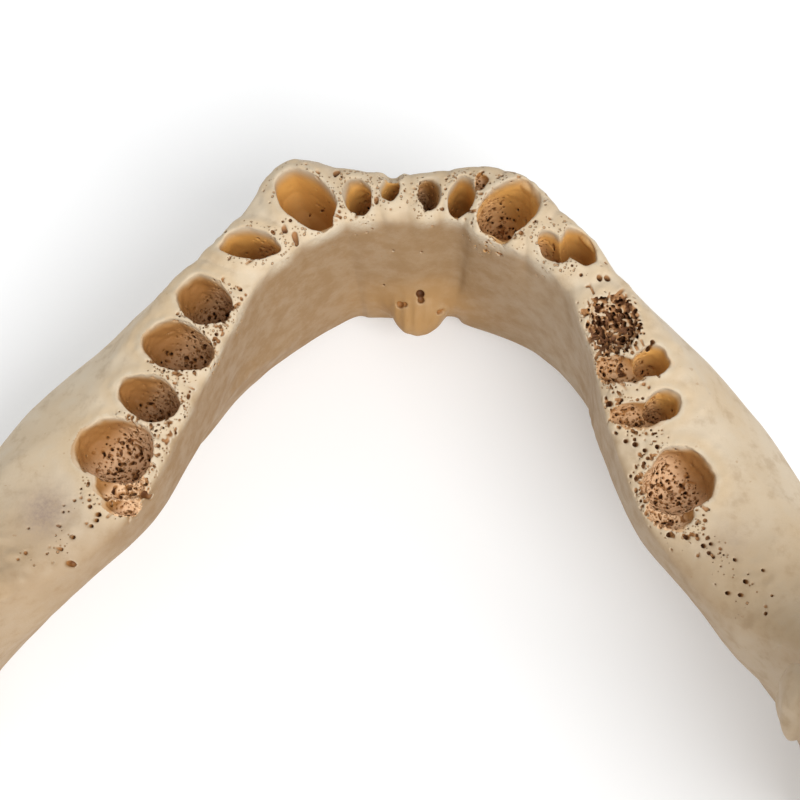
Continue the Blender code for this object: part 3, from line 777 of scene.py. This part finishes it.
def add_blob(field, middle, sizes, tilt, blend, side=1):
    """Grows a rounded bump on the bone, melted into it."""
    middle = np.array(middle) * (side, 1, 1)
    reach = max(sizes) + blend + 1
    block = Block(field, middle - reach - 1, middle + reach + 1)
    turn = Matrix.Identity(3)
    for axis, degrees in zip("XYZ", tilt):
        turn = Matrix.Rotation(math.radians(degrees), 3, axis) @ turn
    back_turn = np.array(turn.transposed())
    where, (x, y, z) = block.part(middle, reach)
    x = x * side
    u, v, w = [back_turn[i][0] * x + back_turn[i][1] * y + back_turn[i][2] * z for i in range(3)]
    ratio = in_sizes(u, v, w, sizes)
    steep = in_sizes(u, v, w, [size ** 2 for size in sizes])
    ball = ratio * (ratio - 1) / (steep + 1e-6)
    ball = ball + grid_noise(ball.shape, 1.6, 41) * 0.25
    block.values[where] = -soft_max(-block.values[where], -ball, blend)
    block.write()


def flute_spur(field):
    """Raises the fine upright ridges on the genial spur."""
    block = Block(field, *SPUR_BOX)
    where, (x, y, z) = block.part(GENIAL_SPUR[0], 7)
    apart, height = SPUR_FLUTING
    near = np.exp(-((x / 3.2) ** 2 + ((z - 1.5) / 2.2) ** 2)) * rise(-1.0, 1.0, y)
    block.values[where] -= height * near * np.cos(2 * math.pi * x / apart)
    block.write()


def bone_field():
    """The field of the whole bone before its pores, and the block that holds its rim."""
    field = field_of(*loft())
    add_blob(field, *SPUR_BASE)
    add_blob(field, *GENIAL_SPUR)
    for side in (1, -1):
        add_blob(field, *LINGULA, side)
    flute_spur(field)
    rim = Block(field, *RIM_BOX)
    shape_rim(rim)
    whole = rim.values.copy()
    for name in SOCKETS:
        cut_socket(rim, whole, name)
    for middle, sizes in BREAKS:
        scoop(rim, middle, sizes)
    rim.write()
    for hole in (MENTAL_HOLE, MANDIBULAR_HOLE):
        for side in (1, -1):
            start, end = [np.array(place) * (side, 1, 1) for place in hole[:2]]
            block = Block(field, np.minimum(start, end) - 4, np.maximum(start, end) + 4)
            drill(block, start, end, hole[2], CANAL_EDGE)
            block.write()
    rim.read()
    return field, rim


def show(name, data):
    """A new object in the scene."""
    thing = bpy.data.objects.new(name, data)
    bpy.context.scene.collection.objects.link(thing)
    return thing


def add_mesh(name, points, faces_by_size):
    """A Blender object from points and arrays of faces."""
    mesh = bpy.data.meshes.new(name)
    corners = np.concatenate([faces.ravel() for faces in faces_by_size])
    sizes = np.concatenate([np.full(len(faces), faces.shape[1]) for faces in faces_by_size])
    mesh.vertices.add(len(points))
    mesh.vertices.foreach_set("co", points.astype(np.float32).ravel())
    mesh.loops.add(len(corners))
    mesh.loops.foreach_set("vertex_index", corners.astype(np.int32))
    mesh.polygons.add(len(sizes))
    mesh.polygons.foreach_set("loop_start", (np.cumsum(sizes) - sizes).astype(np.int32))
    mesh.update(calc_edges=True)
    mesh.validate()
    return show(name, mesh)


def set_value(mesh, name, values):
    """A number at every vertex, for the material to read."""
    mesh.attributes.new(name, "FLOAT", "POINT").data.foreach_set("value", values.astype(np.float32))


def surface_values(points, normals, bare):
    """What the material needs to know about each point of the surface."""
    x, y, z = points.T
    share, spongy, coarse = socket_shares(points, normals)
    centre = np.stack((-x, 34 - y, np.zeros(len(x))), axis=1)
    centre /= np.linalg.norm(centre, axis=1, keepdims=True) + TINY
    facing = (centre * normals).sum(axis=1)
    under = bare.sample(points - normals * THIN, -THIN)
    high = rise(CREST - 4, CREST - 1.5, z)
    # Inner faces of the arch turn tan, lower down more: partly the bone's own tan, partly painted shade and
    # bounce light.
    lingual = rise(0.05, 0.75, facing) * rise(CREST + 0.8, CREST - 3.4, z)
    # Less of it on the jaw's right inner face: painted light against the shade there.
    lingual *= rise(62, 40, y) * (1 - 0.35 * rise(-8, -20, x))
    # Darker towards the back, most on the jaw's left; painted shade on the jaw's right, against the lamp's
    # light there, and over the front.
    darker_back_and_painted_shade = rise(28, 48, y) * (0.5 + 0.5 * rise(-10, 10, x))
    darker_back_and_painted_shade += 0.25 * rise(10, -35, x) + 0.5 * rise(6, -3, y)
    septum = rise(0.3, 0.8, normals[:, 2]) * high * (share < 0.03)
    return {
        # Depth below the bare surface, which the material paints as shade down the pores.
        "pore": np.clip(-bare.sample(points, 0.0), 0, 2),
        "thin": np.clip(1 + under / THIN, 0, 1) * high,
        "socket": share,
        "lingual": lingual,
        "ochre": bell(points, GENIAL_SPUR[0], (6.5, 6.0, 5.0)),
        "spongy": spongy,
        "coarse": coarse,
        "fine": fine_share(points, normals, share, spongy),
        "darker_back_and_painted_shade": darker_back_and_painted_shade,
        "septum": septum * rise(2.4, 0.6, mouth_distance(x, y)),
        "sponge": in_sponge(points),
        "stain": sum(strength * bell(points[:, :2], *spot) for strength, *spot in STAINS),
        "turn": np.arctan2(x, 34 - y) * 24,
    }


def build_bone():
    """The finished mesh, with the values that its material reads."""
    field, rim = bone_field()
    points, _, _, normals = mesh_of(field, 0.0)
    out, back, low = PORE_LIMITS
    near = (np.abs(points[:, 0]) < out) & (points[:, 1] < back) & (points[:, 2] > low)
    points, normals = points[near], normals[near]
    bare = Block(field, *RIM_BOX)
    pore_field(rim, points, normals)
    named_holes(rim, points)
    drill(rim, *LINGUAL_HOLE)
    rim.write()
    points, triangles, quads, normals = mesh_of(field, FLATNESS)
    values = surface_values(points, normals, bare)
    placed = (points - (0, MIDDLE_BACK, 0)) * MM
    low, high = [np.array(corner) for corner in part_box("mandible")]
    bone = add_mesh("bone", np.clip(placed, low, high), (triangles, quads))
    for name, numbers in values.items():
        set_value(bone.data, name, numbers)
    bone.data.shade_smooth()
    return bone


def shade(red, green, blue):
    """A screen colour, 0 to 255, as the light it stands for."""
    parts = [value / 255 for value in (red, green, blue)]
    return tuple(p / 12.92 if p < 0.04045 else ((p + 0.055) / 1.055) ** 2.4 for p in parts) + (1.0,)


CREAM = shade(207, 190, 165)
PALE = shade(200, 186, 163)
TAN = shade(141, 111, 75)
# The socket walls' amber: their own stain together with painted bounce light and shade.
AMBER = shade(208, 155, 80)
BROWN = shade(146, 99, 52)
# The spongy floors' pinkish tan, made paler as painted light on floors that lie in shade.
PINKISH_AND_PAINTED_LIGHT = shade(220, 180, 140)
POROUS = shade(196, 170, 134)
# Painted shade down the pores, from their mouths to their depths.
SHALLOW_PORE_SHADE = shade(156, 102, 46)
DEEP_PORE_SHADE = shade(92, 52, 24)
OCHRE = shade(172, 130, 76)
GREY = shade(148, 128, 114)
WARM = shade(200, 178, 147)


class Nodes:
    """Short ways to add and join the nodes of one material."""

    def __init__(self, name):
        self.material = bpy.data.materials.new(name)
        self.material.use_nodes = True
        self.tree = self.material.node_tree
        self.shader = self.tree.nodes["Principled BSDF"]

    def join(self, socket, value):
        if isinstance(value, bpy.types.NodeSocket):
            self.tree.links.new(value, socket)
        else:
            socket.default_value = value

    def fill(self, node, **inputs):
        for name, value in inputs.items():
            self.join(node.inputs[name.replace("_", " ")], value)
        return node

    def add(self, kind, **inputs):
        return self.fill(self.tree.nodes.new(kind), **inputs)

    def value(self, name):
        node = self.tree.nodes.new("ShaderNodeAttribute")
        node.attribute_name = name
        return node.outputs["Fac"]

    def maths(self, kind, a, b=0.0):
        node = self.tree.nodes.new("ShaderNodeMath")
        node.operation = kind
        self.join(node.inputs[0], a)
        self.join(node.inputs[1], b)
        return node.outputs[0]

    def times(self, a, b):
        return self.maths("MULTIPLY", a, b)

    def ramp(self, value, low, high, start=0.0, end=1.0):
        """A soft rise from start to end while the value goes from low to high."""
        node = self.add("ShaderNodeMapRange", Value=value,
                        From_Min=low, From_Max=high, To_Min=start, To_Max=end)
        node.interpolation_type = "SMOOTHSTEP"
        return node.outputs[0]

    def mix(self, share, a, b):
        node = self.tree.nodes.new("ShaderNodeMix")
        node.data_type = "RGBA"
        self.join(node.inputs["Factor"], share)
        self.join(node.inputs[6], a)
        self.join(node.inputs[7], b)
        return node.outputs[2]

    def noise(self, vector, scale, detail=3.0, roughness=0.55):
        node = self.add("ShaderNodeTexNoise", Vector=vector, Scale=scale, Detail=detail, Roughness=roughness)
        return node.outputs["Fac"]

    def spots(self, vector, scale, share):
        """1 inside small round spots, on about that share of the cells of a random pattern."""
        cells = self.add("ShaderNodeTexVoronoi", Vector=vector, Scale=scale)
        chosen = self.maths("LESS_THAN", cells.outputs["Color"], share)
        return self.times(self.ramp(cells.outputs["Distance"], 0.2, 0.36, 1.0, 0.0), chosen)


def bone_material():
    """Dry bone: cream outside, tan inside the arch, amber in the sockets, dark in the pores, with painted
    shade and light.
    """
    n = Nodes("dry bone")
    place = n.add("ShaderNodeTexCoord").outputs["Object"]
    in_mm = n.add("ShaderNodeVectorMath", Vector=place)
    in_mm.operation = "SCALE"
    in_mm.inputs["Scale"].default_value = 1 / MM
    place = in_mm.outputs[0]
    parts = n.add("ShaderNodeSeparateXYZ", Vector=place)
    along = n.times(n.value("turn"), 0.16)
    streaked = n.add("ShaderNodeCombineXYZ", X=along, Y=n.times(parts.outputs["Y"], 0.12),
                     Z=parts.outputs["Z"]).outputs[0]
    broad = n.noise(place, 0.09, 4)
    mottle = n.noise(place, 0.45, 5, 0.6)
    fine = n.noise(place, 2.2, 4, 0.65)
    streak = n.noise(streaked, 1.1, 4, 0.6)

    deep = n.value("socket")
    pinkish = n.ramp(parts.outputs["Y"], -17.0, -14.0, 0.45, 0.95)  # the last sockets' floors are the palest: painted light
    # Spots where pores too fine to cut are painted dark, as their shade, and dented.
    pits = n.maths("MAXIMUM", n.spots(place, 1.7, n.value("fine")), n.spots(place, 3.1, n.value("fine")))
    layers = (
        (n.times(n.ramp(mottle, 0.5, 0.72), 0.3), TAN),
        (n.times(n.ramp(mottle, 0.46, 0.3), 0.3), PALE),
        # painted shade on the jaw's right and over the front, and darker towards the back
        (n.times(n.value("darker_back_and_painted_shade"), 0.6), TAN),
        # tan inner faces: partly their own colour, partly painted shade and bounce light; lighter on the
        # jaw's right
        (n.times(n.value("lingual"), n.ramp(mottle, 0.3, 0.65, 0.88, 1.0)), TAN),
        (n.times(n.value("ochre"), 0.85), OCHRE),
        (n.times(n.value("septum"), 0.6), POROUS),
        (n.times(n.value("thin"), n.ramp(fine, 0.3, 0.6, 0.3, 0.65)), PALE),
        # amber down the sockets: their own stain with painted bounce light and shade
        (n.ramp(deep, 0.03, 0.34, 0.0, 0.95), AMBER),
        # darker brown smooth walls of the spongy sockets: their own brown deepened as painted shade
        (n.times(n.value("coarse"), n.ramp(deep, 0.03, 0.3, 0.0, 0.9)), BROWN),
        # painted shade, deepening towards the socket floors
        (n.ramp(deep, 0.3, 0.9, 0.0, 0.45), BROWN),
        # pinkish spongy floors, palest in the last sockets: their own colour lightened as painted light
        (n.times(n.ramp(n.value("spongy"), 0.1, 0.7), pinkish), PINKISH_AND_PAINTED_LIGHT),
        (n.times(n.value("sponge"), 0.7), PALE),
        # painted shade down the pores, deepening with their depth
        (n.ramp(n.value("pore"), 0.04, 0.3, 0.0, 0.85), SHALLOW_PORE_SHADE),
        (n.ramp(n.value("pore"), 0.3, 0.8, 0.0, 0.85), DEEP_PORE_SHADE),
        (n.times(n.value("stain"), n.ramp(fine, 0.3, 0.7, 0.5, 1.0)), GREY),
        (n.ramp(n.noise(place, 1.3, 2, 0.4), 0.74, 0.78, 0.0, 0.3), BROWN),
        # painted shade in the spots of pores too fine to cut
        (n.times(pits, 0.6), SHALLOW_PORE_SHADE),
    )
    colour = n.mix(n.ramp(broad, 0.35, 0.68), CREAM, WARM)
    for share, tint in layers:
        colour = n.mix(share, colour, tint)

    coarse_grain = n.times(n.noise(place, 3.5, 5, 0.7), 0.6)
    grain = n.maths("ADD", coarse_grain, n.times(streak, 0.05))
    bump = n.add("ShaderNodeBump", Strength=0.55, Distance=0.00012, Height=grain)
    dents = n.add("ShaderNodeBump", Strength=0.9, Distance=0.0002, Height=n.times(pits, -1.0),
                  Normal=bump.outputs["Normal"])
    n.fill(n.shader, Normal=dents.outputs["Normal"], Base_Color=colour,
           Roughness=n.ramp(mottle, 0.3, 0.7, 0.52, 0.72), Specular_IOR_Level=0.35, Subsurface_Weight=0.0)
    return n.material


# The camera, in millimetres and degrees, about the point that it looks at
CAMERA_TARGET = (-0.42, 25.11 - MIDDLE_BACK, 28.5)
CAMERA_RISE = 70.5  # above the table
CAMERA_TURN = -9.19  # round the jaw from straight behind it
CAMERA_ROLL = -5.803
CAMERA_AWAY = 270.0
CAMERA_LENS = 111.8
SENSOR = 36.0

# The studio, in metres: one round lamp behind the jaw on its right, a bright surround, and a white table
# that glows as if it were lit from below
LAMP_PLACE = (-0.42, 0.51, 0.75)
LAMP_SIZE = 0.75
LAMP_POWER = 9.0
SURROUND = (0.965, 0.985, 1.0, 1.0)
SURROUND_STRENGTH = 0.74
FLOOR_HALF = 1.5
FLOOR_SHADE = (0.75, 0.75, 0.75, 1.0)
FLOOR_GLOW = 0.22


def aim_camera():
    """The photo's view of the jaw."""
    height, turn, roll = [math.radians(value) for value in (CAMERA_RISE, CAMERA_TURN, CAMERA_ROLL)]
    level = math.cos(height)
    back = Vector((math.sin(turn) * level, math.cos(turn) * level, math.sin(height)))
    right = Vector((0, 0, 1)).cross(back).normalized()
    up = back.cross(right)
    across = right * math.cos(roll) + up * math.sin(roll)
    axes = Matrix((across, up * math.cos(roll) - right * math.sin(roll), back))
    camera = show("camera", bpy.data.cameras.new("camera"))
    place = (Vector(CAMERA_TARGET) + back * CAMERA_AWAY) * MM
    camera.matrix_world = Matrix.Translation(place) @ axes.transposed().to_4x4()
    camera.data.sensor_width = SENSOR
    camera.data.lens = CAMERA_LENS
    camera.data.clip_start = 0.01
    bpy.context.scene.camera = camera


def add_floor():
    """The table."""
    mesh = bpy.data.meshes.new("floor")
    corners = [(x * FLOOR_HALF, y * FLOOR_HALF, 0) for x, y in ((-1, -1), (1, -1), (1, 1), (-1, 1))]
    mesh.from_pydata(corners, [], [(0, 1, 2, 3)])
    floor = show("floor", mesh)
    n = Nodes("pale floor")
    n.fill(n.shader, Base_Color=FLOOR_SHADE, Emission_Color=(1.0, 1.0, 1.0, 1.0),
           Emission_Strength=FLOOR_GLOW, Roughness=0.9, Specular_IOR_Level=0.0)
    mesh.materials.append(n.material)


def add_lamp():
    """The round lamp, turned to look at the bone."""
    lamp = bpy.data.lights.new("key lamp", "AREA")
    lamp.shape = "DISK"
    lamp.size = LAMP_SIZE
    lamp.energy = LAMP_POWER
    holder = show("key lamp", lamp)
    holder.location = LAMP_PLACE
    holder.rotation_euler = Vector(LAMP_PLACE).to_track_quat("Z", "Y").to_euler()


def light_studio():
    """The surround, the lamp and plain screen colours."""
    world = bpy.data.worlds.new("studio")
    world.use_nodes = True
    surround = world.node_tree.nodes["Background"]
    surround.inputs["Color"].default_value = SURROUND
    surround.inputs["Strength"].default_value = SURROUND_STRENGTH
    bpy.context.scene.world = world
    add_lamp()
    bpy.context.scene.view_settings.view_transform = "Standard"


bone = build_bone()
bone.data.materials.append(bone_material())
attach(bone, "root")
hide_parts("mandible")
add_floor()
light_studio()
aim_camera()
